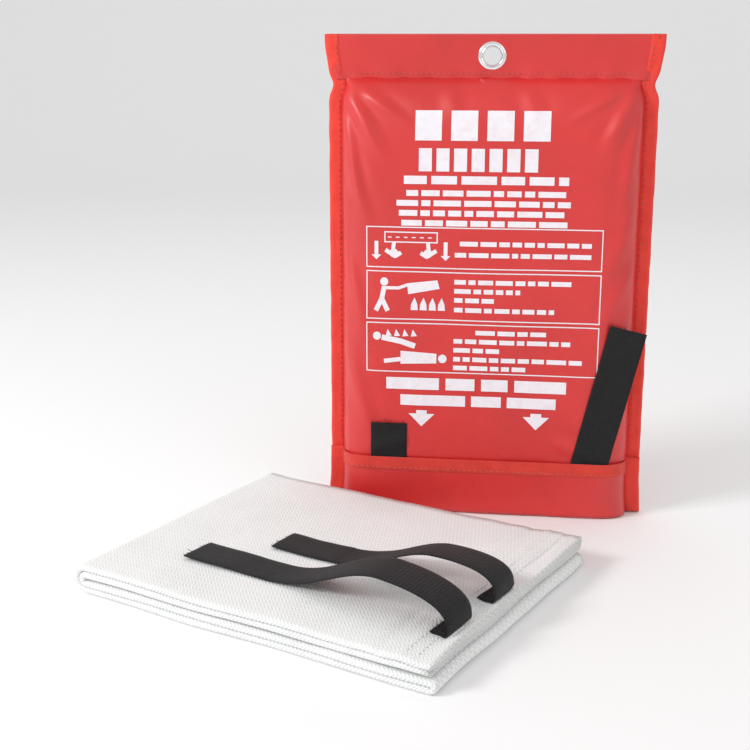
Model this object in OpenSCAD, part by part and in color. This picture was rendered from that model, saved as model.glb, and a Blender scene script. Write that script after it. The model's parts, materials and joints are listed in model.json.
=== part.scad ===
// Fire blanket in a soft hanging pouch, with a second folded blanket beside it.
// The pouch stands upright, faces -Y and holds a packed blanket with two pull tapes.
// The loose blanket lies flat in front of it. The origin is the middle of the footprint, at the floor.

/* [Pouch] */
// Width of the pouch over its side bindings
pouch_w = 265; // [260:1:290]
// Height of the pouch
pouch_h = 390; // [385:1:420]
// Height of the header band
header_h = 34; // [30:1:36]
// Visible width of the side bindings
binding_w = 11; // [8:1:12]
// Thickness of the coated fabric
fabric_t = 0.8; // [0.6:0.1:0.9]
// Height of the folded-up front of the bottom flap
flap_h = 48; // [42:1:54]
// Height of the hem band on the flap
flap_hem_h = 11; // [8:1:14]

/* [Eyelet] */
// Diameter of the clear hole
eyelet_hole_d = 13; // [10:0.5:14]
// Outer diameter of the rolled rim
eyelet_rim_d = 23; // [21:0.5:25]
// Distance from the pouch's top edge to the eyelet's centre
eyelet_drop = 17; // [15:0.5:18]

/* [Blankets] */
// Long side of a folded blanket
pack_l = 300; // [295:1:305]
// Short side of a folded blanket
pack_w = 240; // [230:1:241]
// Thickness of the blanket inside the pouch
packed_t = 20; // [16:1:21]
// Thickness of each of the two leaves of the loose blanket
leaf_t = 11; // [9:0.5:12]
// Corner radius of a folded blanket
pack_corner_r = 8; // [4:1:12]

/* [Pull tapes] */
// Width of the webbing
tape_w = 30; // [25:1:32]
// Thickness of the webbing
tape_t = 1.4; // [1:0.1:1.6]
// Height that the right pouch tape shows above the flap
right_tape_show = 108; // [90:1:120]
// Lean of the right pouch tape
right_tape_lean = 13; // [0:1:15]
// Height that the left pouch tape shows above the flap
left_tape_show = 24; // [10:1:60]
// Distance of the pouch tapes from the centre line, at the mouth
pouch_tape_x = 78; // [60:1:79]

/* [Placing of the loose blanket] */
// Middle of the loose blanket, measured from the pouch's centre line
loose_x = -100; // [-110:1:-90]
// Middle of the loose blanket, measured from the pouch's back
loose_y = -170; // [-190:1:-170]
// Turn of the loose blanket about the vertical
loose_turn = -24; // [-26:1:-22]

/* [Hidden] */
$fn = 48;

// Clearance between bodies that move against each other
gap = 0.6;
// Clearance of the packed blanket inside the pouch
pack_gap = 1.2;
// Depth of the pouch's hollow at the packed blanket
hollow_t = packed_t + 2 * pack_gap;
// Width over which the bulge falls to the side bindings
bulge_run = 16;
// Seam line below the header
seam_z = pouch_h - header_h;
// Top of the part of the hollow that keeps its full depth
bulge_top = pack_l + 12;
// Lower edge of the front panel, above which the mouth opens
mouth_z = 9;
// Level of the packed blanket's lower end
packed_z = 3;
// Outermost plane of the front panel
front_y = -(2 * fabric_t + hollow_t);
// Plane of the pouch tapes' back, and the plane of the flap's back
tape_y = front_y - gap;
flap_y = tape_y - tape_t - gap;
// Thickness of the bindings' outer layers
binding_t = 0.7;
// Plane of the flap at the pouch's thin side edges, and half the width of its full depth
flap_side_y = -2 * fabric_t - binding_t - 2 * gap;
flap_half = pouch_w / 2 - binding_w - bulge_run + fabric_t + gap;
// Free strip of each flap binding beside the flap's fabric
flap_overlap = 0.6;
// Eyelet's centre and barrel
eyelet_z = pouch_h - eyelet_drop;
eyelet_wall = 0.9;
eyelet_front = -(2 * fabric_t + 2.4);
eyelet_back = 1.6;
barrel_r = eyelet_hole_d / 2 + eyelet_wall;
// Stitches
stitch_l = 3.2;
stitch_pitch = 4.6;
stitch_r = 0.4;

// Half the extent of the rounded rectangle of a folded blanket along an axis turned by an angle
function half_extent(turn) = (pack_l / 2 - pack_corner_r) * abs(cos(turn))
    + (pack_w / 2 - pack_corner_r) * abs(sin(turn)) + pack_corner_r;
// Footprint of the whole object before it is centred
x_low = loose_x - half_extent(loose_turn);
x_high = max(pouch_w / 2, pouch_tape_x + tape_w / 2 * cos(right_tape_lean)
    + (flap_h + right_tape_show) * tan(right_tape_lean));
y_low = loose_y - half_extent(90 - loose_turn);
y_high = eyelet_back;
centre_shift = [-(x_low + x_high) / 2, -(y_low + y_high) / 2, 0];

// Top of the loose blanket
leaf_gap = 0.4;
loose_top = 2 * leaf_t + leaf_gap;
// Loose tapes: place of the sewn root, turn in plan, flat length, arch length and arch height
front_root = [138, -68];
front_turn = -3;
front_flat = 72;
front_arch = 150;
front_rise = 26;
rear_root = [142, -11];
rear_turn = 0;
rear_flat = 54;
rear_arch = 128;
rear_rise = 22;
// Skew of the arches: below 1, they are steeper at the root
arch_skew = 0.7;
patch_t = 0.6;
patch_l = 34;

module at_pouch() {
    translate(centre_shift) children();
}

module at_loose() {
    translate(centre_shift + [loose_x, loose_y, 0]) rotate([0, 0, loose_turn]) children();
}

// A block given by its centre in X, its range in Y and its range in Z
module slab(wide, y_from, y_to, z_from, z_to, x = 0) {
    translate([x - wide / 2, y_from, z_from]) cube([wide, y_to - y_from, z_to - z_from]);
}

// Hole through the panels for the eyelet's barrel
module eyelet_hole() {
    translate([0, 20, eyelet_z]) rotate([90, 0, 0]) cylinder(r = barrel_r + 0.05, h = 40);
}

// The pouch's bulging front as a solid, grown outwards by a thickness
module bulge(grow) {
    inner_w = pouch_w - 2 * binding_w - 2 * fabric_t - 0.4;
    hull() {
        slab(inner_w + 2 * grow, -2 * fabric_t, -fabric_t, -1, seam_z + grow);
        slab(inner_w - 2 * bulge_run + 2 * grow, -fabric_t - hollow_t - grow, -fabric_t, -1, bulge_top);
    }
}

module back_panel() {
    color("firebrick") at_pouch() difference() {
        slab(pouch_w - 6, -fabric_t, 0, 0, pouch_h - 1);
        eyelet_hole();
    }
}

module front_panel() {
    color("firebrick") at_pouch() intersection() {
        difference() {
            bulge(fabric_t);
            bulge(0);
        }
        slab(pouch_w, -100, -fabric_t, mouth_z, seam_z);
    }
}

module header_band() {
    color("firebrick") at_pouch() difference() {
        slab(pouch_w - 6, -2 * fabric_t, -fabric_t, seam_z + fabric_t + 0.1, pouch_h - 1);
        eyelet_hole();
    }
}

// Folded tape round a side edge, open towards the pouch
module side_binding(side) {
    translate([side * (pouch_w / 2 - binding_w / 2), 0, 0]) difference() {
        slab(binding_w, -2 * fabric_t - binding_t, binding_t, 0, pouch_h);
        translate([-side * 3, 0, -1]) slab(binding_w, -2 * fabric_t, 0, 0, pouch_h + 2);
    }
}

module left_binding() {
    color("tomato") at_pouch() side_binding(-1);
}

module right_binding() {
    color("tomato") at_pouch() side_binding(1);
}

module eyelet() {
    rim_r = (eyelet_rim_d / 2 - barrel_r) / 2;
    color("gainsboro") at_pouch() translate([0, 0, eyelet_z]) rotate([90, 0, 0]) {
        translate([0, 0, -eyelet_back]) difference() {
            cylinder(r = barrel_r, h = eyelet_back - eyelet_front);
            translate([0, 0, -1]) cylinder(r = eyelet_hole_d / 2, h = eyelet_back - eyelet_front + 2);
        }
        translate([0, 0, 2 * fabric_t]) rotate_extrude() intersection() {
            translate([barrel_r + rim_r - 0.2, 0]) circle(r = rim_r + 0.2);
            translate([barrel_r - 0.5, 0]) square([20, 20]);
        }
    }
}

module eyelet_washer() {
    color("silver") at_pouch() translate([0, 0, eyelet_z]) rotate([-90, 0, 0]) difference() {
        cylinder(r = eyelet_rim_d / 2 - 0.8, h = 0.9);
        translate([0, 0, -1]) cylinder(r = barrel_r, h = 4);
    }
}

// One stitch lying along X or Z on a plane at y
module stitch(x, y, z, upright) {
    translate([x, y, z]) rotate(upright ? [0, 0, 0] : [0, 90, 0])
        translate([0, 0, -stitch_l / 2]) cylinder(r = stitch_r, h = stitch_l, $fn = 16);
}

module header_stitching() {
    row_w = pouch_w - 2 * binding_w - 16;
    count = floor(row_w / stitch_pitch / 2) * 2;
    color("mistyrose") at_pouch() for (i = [-count / 2 : count / 2])
        stitch(i * stitch_pitch, -2 * fabric_t - stitch_r - 0.02, seam_z + 4, false);
}

module binding_stitching() {
    pitch = stitch_pitch * 3;
    count = floor((pouch_h - flap_h - 30) / pitch);
    color("mistyrose") at_pouch() for (side = [-1, 1], i = [0 : count])
        stitch(side * (pouch_w / 2 - binding_w + 3), -2 * fabric_t - binding_t - stitch_r - 0.02,
            flap_h + 16 + i * pitch, true);
}

// Upright outline of a folded blanket with rounded corners, from z = 0 up
module pack_outline(wide, tall) {
    translate([0, tall / 2]) hull() for (x = [-1, 1], z = [-1, 1])
        translate([x * (wide / 2 - pack_corner_r), z * (tall / 2 - pack_corner_r)]) circle(r = pack_corner_r);
}

module packed_blanket() {
    middle_y = -fabric_t - hollow_t / 2;
    front_half = pouch_w / 2 - binding_w - bulge_run - pack_gap;
    back_half = pack_w / 2 - 2;
    color("whitesmoke") at_pouch() intersection() {
        translate([0, middle_y + packed_t / 2, packed_z]) rotate([90, 0, 0])
            linear_extrude(packed_t) pack_outline(pack_w, pack_l);
        linear_extrude(pouch_h) polygon([
            [-front_half, middle_y - packed_t / 2 - 1], [front_half, middle_y - packed_t / 2 - 1],
            [back_half, middle_y + packed_t / 2 + 1], [-back_half, middle_y + packed_t / 2 + 1]]);
    }
}

// Sewn roots that run out of the mouth below the front panel
module packed_tape_roots() {
    middle_y = -fabric_t - hollow_t / 2;
    color("dimgray") at_pouch() for (side = [-1, 1])
        slab(tape_w, tape_y + gap, middle_y - packed_t / 2, packed_z + 2, packed_z + 2 + tape_t,
            side * pouch_tape_x);
}

// A pouch tape folded up over the front panel from the mouth
module pouch_tape(side, show, lean) {
    long = (flap_h + show) / cos(lean);
    start = tape_w / 2 * tan(lean);
    color("dimgray") at_pouch() translate([side * pouch_tape_x, tape_y, packed_z + 2])
        rotate([0, lean, 0]) slab(tape_w, -tape_t, 0, start, long);
}

module packed_tape_left() {
    pouch_tape(-1, left_tape_show, 0);
}

module packed_tape_right() {
    pouch_tape(1, right_tape_show, right_tape_lean);
}

// Plan of the flap's front edge, from the thin left side round the bulge to the thin right side
function flap_line(reach, back) = let (side = pouch_w / 2 - reach) [
    [-side, flap_side_y - back], [-flap_half, flap_y - back],
    [flap_half, flap_y - back], [side, flap_side_y - back]];

function reversed(list) = [for (i = [len(list) - 1 : -1 : 0]) list[i]];

// A strip of the flap that follows its plan, between two depths and two levels
module flap_strip(reach, back, front, z_from, z_to) {
    translate([0, 0, z_from]) linear_extrude(z_to - z_from)
        polygon(concat(flap_line(reach, back), reversed(flap_line(reach, front))));
}

// Fabric under the mouth, from the back panel to the flap's fold
module flap_base() {
    side = pouch_w / 2 - binding_w - 0.4;
    color("firebrick") at_pouch() linear_extrude(fabric_t) polygon([
        [side, -fabric_t - 0.2], [-side, -fabric_t - 0.2], [-side, flap_side_y],
        [-flap_half, flap_y - fabric_t], [flap_half, flap_y - fabric_t], [side, flap_side_y]]);
}

module flap_front() {
    color("firebrick") at_pouch() flap_strip(binding_w - flap_overlap, 0, fabric_t, fabric_t + 0.3, flap_h - 1);
}

module flap_hem() {
    color("tomato") at_pouch() flap_strip(binding_w - flap_overlap, fabric_t, fabric_t + binding_t,
        flap_h - flap_hem_h, flap_h);
}

module flap_binding(side) {
    color("tomato") at_pouch() slab(binding_w - 1, flap_side_y - fabric_t - binding_t, flap_side_y,
        fabric_t + 0.3, flap_h, side * (pouch_w - binding_w + 1) / 2);
}

module flap_left_binding() {
    flap_binding(-1);
}

module flap_right_binding() {
    flap_binding(1);
}

// A flat leaf of the loose blanket, lying from one level up to another
module leaf(low) {
    color("whitesmoke") at_loose() translate([0, -pack_w / 2, low])
        linear_extrude(leaf_t) pack_outline(pack_l, pack_w);
}

module loose_lower_leaf() {
    leaf(0);
}

module loose_upper_leaf() {
    leaf(leaf_t + leaf_gap);
}

// Sewn edge at the free end of the upper leaf
module upper_leaf_hem() {
    color("whitesmoke") at_loose() translate([pack_l / 2 - 24, 0, loose_top])
        translate([0, -pack_w / 2 + 12, 0]) cube([9, pack_w - 24, 0.5]);
}

// Height of a loose tape above the blanket at a distance from its root
function tape_lift(s, arch, rise) = s < arch ? rise * pow(sin(180 * pow(s / arch, arch_skew)), 2) : 0;

// A tape that leaves its root in one arch and ends lying flat
module loose_tape(root, turn, flat, arch, rise) {
    steps = 30;
    long = flat + arch;
    path = [for (i = [0 : steps]) let (s = long * i / steps) [-s, tape_lift(s, arch, rise)]];
    back = [for (i = [steps : -1 : 0]) path[i] + [0, tape_t]];
    color("dimgray") at_loose() translate([root[0], root[1], loose_top + patch_t + gap])
        rotate([0, 0, turn]) translate([0, tape_w / 2, 0]) rotate([90, 0, 0])
        linear_extrude(tape_w) polygon(concat(path, back));
}

module front_pull_tape() {
    loose_tape(front_root, front_turn, front_flat, front_arch, front_rise);
}

module rear_pull_tape() {
    loose_tape(rear_root, rear_turn, rear_flat, rear_arch, rear_rise);
}

// Sewn patch that holds a loose tape's root
module tape_patch(root, turn) {
    color("gray") at_loose() translate([root[0], root[1], loose_top + 0.6]) rotate([0, 0, turn])
        translate([-patch_l / 2 + 6, -tape_w / 2, -0.1]) cube([patch_l / 2 - 6, tape_w, patch_t]);
}

module front_tape_patch() {
    tape_patch(front_root, front_turn);
}

module rear_tape_patch() {
    tape_patch(rear_root, rear_turn);
}

back_panel();
front_panel();
header_band();
left_binding();
right_binding();
eyelet();
eyelet_washer();
header_stitching();
binding_stitching();
packed_blanket();
packed_tape_roots();
packed_tape_left();
packed_tape_right();
flap_base();
flap_front();
flap_hem();
flap_left_binding();
flap_right_binding();
loose_lower_leaf();
loose_upper_leaf();
upper_leaf_hem();
front_pull_tape();
rear_pull_tape();
front_tape_patch();
rear_tape_patch();
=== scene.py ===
"""Looks of a fire blanket in a soft hanging pouch, with a second folded blanket beside it."""

import json
import math
import random

import bpy
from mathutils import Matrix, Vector, noise


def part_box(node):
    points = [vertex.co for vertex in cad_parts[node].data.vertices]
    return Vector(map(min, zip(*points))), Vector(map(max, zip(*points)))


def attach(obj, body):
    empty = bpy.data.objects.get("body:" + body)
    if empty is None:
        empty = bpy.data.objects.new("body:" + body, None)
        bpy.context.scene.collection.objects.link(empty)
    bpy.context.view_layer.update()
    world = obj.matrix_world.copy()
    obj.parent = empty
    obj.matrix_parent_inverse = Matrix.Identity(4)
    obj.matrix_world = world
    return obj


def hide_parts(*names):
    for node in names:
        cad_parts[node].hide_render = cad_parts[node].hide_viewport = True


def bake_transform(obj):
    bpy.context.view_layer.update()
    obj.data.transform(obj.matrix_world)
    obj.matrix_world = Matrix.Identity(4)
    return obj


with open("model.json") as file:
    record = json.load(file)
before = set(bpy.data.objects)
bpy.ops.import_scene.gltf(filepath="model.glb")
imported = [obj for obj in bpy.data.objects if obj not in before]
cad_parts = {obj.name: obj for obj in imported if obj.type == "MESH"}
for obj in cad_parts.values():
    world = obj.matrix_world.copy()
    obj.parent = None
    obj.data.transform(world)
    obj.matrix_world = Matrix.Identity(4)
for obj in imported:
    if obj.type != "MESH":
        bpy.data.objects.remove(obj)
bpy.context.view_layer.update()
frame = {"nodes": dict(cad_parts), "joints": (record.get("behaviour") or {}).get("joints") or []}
JOINTS = {joint["name"]: joint for joint in frame["joints"]}
MM = 0.001

# ---------------------------------------------------------------- places and sizes, from the frame
BACK_LOW, BACK_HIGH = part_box("back_panel")
POUCH_X = (BACK_LOW[0] + BACK_HIGH[0]) / 2      # pouch's centre line
POUCH_Y = BACK_HIGH[1]                          # plane of the pouch's back
BIND_LOW, BIND_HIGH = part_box("right_binding")
HALF_W = BIND_HIGH[0] - POUCH_X                 # half the pouch's width
POUCH_H = BIND_HIGH[2]
BINDING_W = BIND_HIGH[0] - BIND_LOW[0]
FRONT_LOW, FRONT_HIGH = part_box("front_panel")
SEAM_Z = FRONT_HIGH[2]                          # seam below the header
BULGE = POUCH_Y - FRONT_LOW[1]                  # depth of the bulging front
MOUTH_Z = FRONT_LOW[2]
FLAP_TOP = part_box("flap_hem")[1][2]
HEM_H = FLAP_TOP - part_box("flap_hem")[0][2]
EYELET_LOW, EYELET_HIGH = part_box("eyelet")
EYELET_Z = (EYELET_LOW[2] + EYELET_HIGH[2]) / 2
TAPE_W = 30 * MM
TAPE_T = 1.3 * MM
CLOTH_T = 0.5 * MM
WEAVE_PITCH = 1.5 * MM                          # of the pouch's coated fabric

# The loose blanket's own axes: origin under its middle, +x along its long side away from the fold
FOLD = Vector(JOINTS["upper_leaf_open"]["pos_m"])
FOLD_AXIS = Vector(JOINTS["upper_leaf_open"]["axis"]).normalized()
LOOSE_Y = -FOLD_AXIS                            # along the short side, away from the viewer
LOOSE_X = LOOSE_Y.cross(Vector((0, 0, 1)))      # along the long side
PACK_L = 300 * MM
PACK_W = 240 * MM
LOOSE_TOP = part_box("loose_upper_leaf")[1][2]
LEAF_MIDDLE = FOLD[2]
LOOSE_O = Vector((FOLD[0], FOLD[1], 0)) + LOOSE_X * (PACK_L / 2)


def smooth(low, high, value):
    """0 below low, 1 above high, smooth between."""
    t = min(max((value - low) / (high - low), 0), 1)
    return t * t * (3 - 2 * t)


def wave(x, y, z, scale, seed=0.0):
    """Smooth noise from -1 to 1 that changes over the distance scale, in metres."""
    return noise.noise(Vector((x / scale + seed, y / scale - seed, z / scale + 2 * seed)))


# ---------------------------------------------------------------- materials
def graph(name):
    material = bpy.data.materials.new(name)
    material.use_nodes = True
    nodes = material.node_tree.nodes
    return material, nodes, material.node_tree.links, nodes["Principled BSDF"]


def socket(links, value, target):
    """Connects a link or sets a number."""
    if hasattr(value, "is_output"):
        links.new(value, target)
    else:
        target.default_value = value


class Maths:
    """Short forms for the node arithmetic of one material."""

    def __init__(self, nodes, links):
        self.nodes, self.links = nodes, links

    def do(self, operation, a, b=0.0, c=0.0):
        node = self.nodes.new("ShaderNodeMath")
        node.operation = operation
        for value, target in zip((a, b, c), node.inputs):
            socket(self.links, value, target)
        return node.outputs[0]

    def ribs(self, value, pitch):
        """A sine wave from 0 to 1, with one rib each pitch."""
        turn = self.do("MULTIPLY", value, 2 * math.pi / pitch)
        return self.do("MULTIPLY_ADD", self.do("SINE", turn), 0.5, 0.5)

    def uv(self):
        """Distances across and along the fabric, in metres."""
        node = self.nodes.new("ShaderNodeUVMap")
        split = self.nodes.new("ShaderNodeSeparateXYZ")
        self.links.new(node.outputs[0], split.inputs[0])
        return split.outputs[0], split.outputs[1]

    def cloud(self, scale, detail=3.0):
        """Noise over the object's own space; scale is the number of cells in a metre."""
        place = self.nodes.new("ShaderNodeTexCoord")
        node = self.nodes.new("ShaderNodeTexNoise")
        self.links.new(place.outputs["Object"], node.inputs["Vector"])
        node.inputs["Scale"].default_value = scale
        node.inputs["Detail"].default_value = detail
        return node.outputs["Fac"]

    def ramp(self, value, stops):
        node = self.nodes.new("ShaderNodeValToRGB")
        self.links.new(value, node.inputs[0])
        elements = node.color_ramp.elements
        while len(elements) < len(stops):
            elements.new(0.5)
        for element, (place, colour) in zip(elements, stops):
            element.position = place
            element.color = (*colour, 1)
        return node.outputs[0]

    def range(self, value, low, high):
        node = self.nodes.new("ShaderNodeMapRange")
        self.links.new(value, node.inputs[0])
        node.inputs[3].default_value = low
        node.inputs[4].default_value = high
        return node.outputs[0]

    def bump(self, height, distance, shader, strength=1.0, under=None):
        node = self.nodes.new("ShaderNodeBump")
        node.inputs["Strength"].default_value = strength
        node.inputs["Distance"].default_value = distance
        self.links.new(height, node.inputs["Height"])
        if under:
            self.links.new(under, node.inputs["Normal"])
        self.links.new(node.outputs[0], shader.inputs["Normal"])
        return node.outputs[0]


def plain_weave(m, u, v, pitch):
    """Over-and-under threads: 0 in the gaps to 1 on the crowns."""
    turn = 2 * math.pi / pitch
    across = m.do("SINE", m.do("MULTIPLY", u, turn))
    along = m.do("SINE", m.do("MULTIPLY", v, turn))
    return m.do("MULTIPLY_ADD", m.do("MULTIPLY", across, along), 0.5, 0.5)


def coated_fabric():
    material, nodes, links, shader = graph("red_coated_fabric")
    m = Maths(nodes, links)
    u, v = m.uv()
    weave = plain_weave(m, u, v, WEAVE_PITCH)
    # painted sheen: large soft patches, lighter and darker red at random, stand in for the coating's milky
    # highlights; the weave adds the fine thread pattern
    painted_sheen_patches = m.cloud(14, 4)
    tone = m.do("ADD", m.do("MULTIPLY", weave, 0.55), m.do("MULTIPLY", painted_sheen_patches, 0.45))
    reds = [(0.2, (0.46, 0.006, 0.006)), (0.5, (0.72, 0.012, 0.011)), (0.85, (0.86, 0.024, 0.020))]
    colour = m.ramp(tone, reds)
    links.new(colour, shader.inputs["Base Color"])
    links.new(m.range(m.cloud(60), 0.30, 0.46), shader.inputs["Roughness"])
    shader.inputs["Coat Weight"].default_value = 0.75
    shader.inputs["Coat Roughness"].default_value = 0.34
    fine = m.bump(m.cloud(900, 2), 0.05 * MM, shader, 0.5)
    m.bump(weave, 0.2 * MM, shader, 0.9, fine)
    return material


def binding_tape():
    material, nodes, links, shader = graph("red_binding_tape")
    m = Maths(nodes, links)
    u, v = m.uv()
    ribs = m.ribs(v, 0.9 * MM)
    worn = m.cloud(90, 4)
    tone = m.do("ADD", m.do("MULTIPLY", ribs, 0.4), m.do("MULTIPLY", worn, 0.6))
    colour = m.ramp(tone, [(0.2, (0.74, 0.025, 0.014)), (0.8, (0.97, 0.060, 0.034))])
    links.new(colour, shader.inputs["Base Color"])
    shader.inputs["Roughness"].default_value = 0.62
    shader.inputs["Sheen Weight"].default_value = 0.15
    m.bump(ribs, 0.12 * MM, shader, 0.8)
    return material


def glass_cloth():
    """Herringbone glass cloth: zigzag rows of floats with shaded gaps."""
    material, nodes, links, shader = graph("white_glass_cloth")
    m = Maths(nodes, links)
    u, v = m.uv()
    zigzag = m.do("PINGPONG", u, 3.2 * MM)
    floats = m.ribs(m.do("ADD", v, zigzag), 3.0 * MM)
    threads = plain_weave(m, u, v, 1.0 * MM)
    height = m.do("ADD", m.do("MULTIPLY", floats, 0.75), m.do("MULTIPLY", threads, 0.25))
    tone = m.do("ADD", m.do("MULTIPLY", height, 0.7), m.do("MULTIPLY", m.cloud(25, 4), 0.3))
    whites = [(0.12, (0.62, 0.65, 0.63)), (0.38, (0.87, 0.88, 0.87)), (0.7, (0.95, 0.955, 0.95))]
    colour = m.ramp(tone, whites)
    links.new(colour, shader.inputs["Base Color"])
    shader.inputs["Roughness"].default_value = 0.72
    shader.inputs["Sheen Weight"].default_value = 0.25
    m.bump(height, 0.45 * MM, shader, 0.9)
    return material


def webbing():
    """Black ribbed webbing: cross ribs broken by the warp threads."""
    material, nodes, links, shader = graph("black_webbing")
    m = Maths(nodes, links)
    u, v = m.uv()
    sway_of_rib = m.do("SINE", m.do("MULTIPLY", u, 2 * math.pi / (2.6 * MM)))
    shifted = m.do("ADD", v, m.do("MULTIPLY", sway_of_rib, 0.25 * MM))
    ribs = m.ribs(shifted, 1.5 * MM)
    warp = m.ribs(u, 1.3 * MM)
    height = m.do("ADD", m.do("MULTIPLY", ribs, 0.7), m.do("MULTIPLY", warp, 0.3))
    blacks = [(0.1, (0.002, 0.002, 0.002)), (0.6, (0.010, 0.010, 0.011)), (1.0, (0.026, 0.025, 0.028))]
    colour = m.ramp(height, blacks)
    links.new(colour, shader.inputs["Base Color"])
    links.new(m.range(m.cloud(300), 0.62, 0.8), shader.inputs["Roughness"])
    shader.inputs["Sheen Weight"].default_value = 0.06
    shader.inputs["Specular IOR Level"].default_value = 0.3
    m.bump(height, 0.3 * MM, shader, 0.9)
    return material


def screen_print():
    material, nodes, links, shader = graph("white_print")
    m = Maths(nodes, links)
    u, v = m.uv()
    weave = plain_weave(m, u, v, WEAVE_PITCH)
    tone = m.do("ADD", m.do("MULTIPLY", weave, 0.3), m.do("MULTIPLY", m.cloud(220, 5), 0.7))
    colour = m.ramp(tone, [(0.25, (0.86, 0.66, 0.68)), (0.42, (0.88, 0.83, 0.88)), (0.8, (0.93, 0.90, 0.95))])
    links.new(colour, shader.inputs["Base Color"])
    shader.inputs["Roughness"].default_value = 0.5
    m.bump(weave, 0.06 * MM, shader, 0.6)
    return material


def metal(name, colour, rough, scratch):
    """Bare metal; scratch is the depth of its fine scratches in millimetres."""
    material, nodes, links, shader = graph(name)
    m = Maths(nodes, links)
    shader.inputs["Base Color"].default_value = (*colour, 1)
    shader.inputs["Metallic"].default_value = 1.0
    links.new(m.range(m.cloud(420, 5), rough, rough + 0.12), shader.inputs["Roughness"])
    m.bump(m.cloud(1500, 3), scratch * MM, shader, 0.4)
    return material


def thread(name, colour):
    material, nodes, links, shader = graph(name)
    m = Maths(nodes, links)
    u, v = m.uv()
    twist = m.ribs(m.do("ADD", u, v), 0.5 * MM)
    dark = tuple(0.7 * c for c in colour)
    links.new(m.ramp(twist, [(0.1, dark), (0.8, colour)]), shader.inputs["Base Color"])
    shader.inputs["Roughness"].default_value = 0.6
    m.bump(twist, 0.08 * MM, shader, 0.7)
    return material


RED = coated_fabric()
BINDING = binding_tape()
CLOTH = glass_cloth()
WEBBING = webbing()
PRINT = screen_print()
CHROME = metal("chrome", (0.90, 0.90, 0.91), rough=0.07, scratch=0.01)
STEEL = metal("nickel", (0.62, 0.61, 0.59), rough=0.24, scratch=0.02)
RED_THREAD = thread("red_thread", (0.80, 0.16, 0.12))
WHITE_THREAD = thread("white_thread", (0.90, 0.90, 0.88))
BLACK_THREAD = thread("black_thread", (0.05, 0.05, 0.055))


# ---------------------------------------------------------------- mesh helpers
def piece(name, verts, faces, uvs, material, body, slot, smooth_faces=True):
    """A mesh with one UV per vertex, in metres of fabric, that rides on a body."""
    mesh = bpy.data.meshes.new(name)
    mesh.from_pydata([tuple(v) for v in verts], [], faces)
    layer = mesh.uv_layers.new(name="UVMap")
    for loop in mesh.loops:
        layer.data[loop.index].uv = uvs[loop.vertex_index]
    mesh.polygons.foreach_set("use_smooth", [smooth_faces] * len(mesh.polygons))
    mesh.materials.append(material)
    thing = bpy.data.objects.new(name, mesh)
    bpy.context.scene.collection.objects.link(thing)
    if body:
        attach(thing, body)
    return thing


def grid(columns, rows, place):
    """Verts, quads and UVs of a grid. place(i, j) gives (point, uv)."""
    verts, uvs = [], []
    for j in range(rows):
        for i in range(columns):
            point, uv = place(i, j)
            verts.append(point)
            uvs.append(uv)
    faces = [
        (j * columns + i, j * columns + i + 1, (j + 1) * columns + i + 1, (j + 1) * columns + i)
        for j in range(rows - 1)
        for i in range(columns - 1)
    ]
    return verts, faces, uvs


def thicken(thing, thickness, offset=0.0):
    """Gives a sheet its thickness and applies it to the mesh."""
    modifier = thing.modifiers.new("thickness", "SOLIDIFY")
    modifier.thickness = thickness
    modifier.offset = offset
    modifier.use_even_offset = False
    apply_modifiers(thing)


def apply_modifiers(thing):
    graph_now = bpy.context.evaluated_depsgraph_get()
    mesh = bpy.data.meshes.new_from_object(thing.evaluated_get(graph_now))
    mesh.name = thing.data.name
    thing.modifiers.clear()
    thing.data = mesh
    thing.data.polygons.foreach_set("use_smooth", [True] * len(mesh.polygons))


def tube(path, radius, sides=6):
    """A closed tube along a list of points, for stitches and threads."""
    verts, faces, uvs = [], [], []
    run = 0.0
    for n, point in enumerate(path):
        ahead = (path[min(n + 1, len(path) - 1)] - path[max(n - 1, 0)]).normalized()
        side = ahead.cross(Vector((0.31, 0.2, 0.93))).normalized()
        up = side.cross(ahead)
        if n:
            run += (point - path[n - 1]).length
        end = n in (0, len(path) - 1)
        for k in range(sides):
            turn = 2 * math.pi * k / sides
            reach = radius * (0.55 if end else 1.0)
            verts.append(point + (side * math.cos(turn) + up * math.sin(turn)) * reach)
            uvs.append((k / sides * 2 * math.pi * radius, run))
    for n in range(len(path) - 1):
        for k in range(sides):
            a, b = n * sides + k, n * sides + (k + 1) % sides
            faces.append((a, b, b + sides, a + sides))
    faces.append(tuple(range(sides))[::-1])
    faces.append(tuple(len(verts) - sides + k for k in range(sides)))
    return verts, faces, uvs


def merged(parts):
    """Joins several (verts, faces, uvs) into one."""
    verts, faces, uvs = [], [], []
    for part_verts, part_faces, part_uvs in parts:
        start = len(verts)
        verts += part_verts
        uvs += part_uvs
        faces += [tuple(start + i for i in face) for face in part_faces]
    return verts, faces, uvs


# ---------------------------------------------------------------- folded cloth
class Path:
    """A flat curve of straights and half turns, sampled with its normals and its length."""

    def __init__(self, start, heading):
        self.at = Vector(start)
        self.heading = heading
        self.run = 0.0
        self.samples = []

    def add(self):
        normal = Vector((-math.sin(self.heading), math.cos(self.heading)))
        self.samples.append((self.at.copy(), normal, self.run))

    def straight(self, length, steps):
        ahead = Vector((math.cos(self.heading), math.sin(self.heading)))
        start, run = self.at.copy(), self.run
        for n in range(1, steps + 1):
            self.at = start + ahead * (length * n / steps)
            self.run = run + length * n / steps
            self.add()

    def half_turn(self, radius, side, steps):
        """Turns left for side 1 and right for side -1."""
        centre = self.at + Vector((-math.sin(self.heading), math.cos(self.heading))) * radius * side
        heading, run = self.heading, self.run
        for n in range(1, steps + 1):
            turned = math.pi * n / steps
            self.heading = heading + side * turned
            out = Vector((math.sin(self.heading), -math.cos(self.heading))) * radius * side
            self.at = centre + out
            self.run = run + radius * turned
            self.add()


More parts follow.
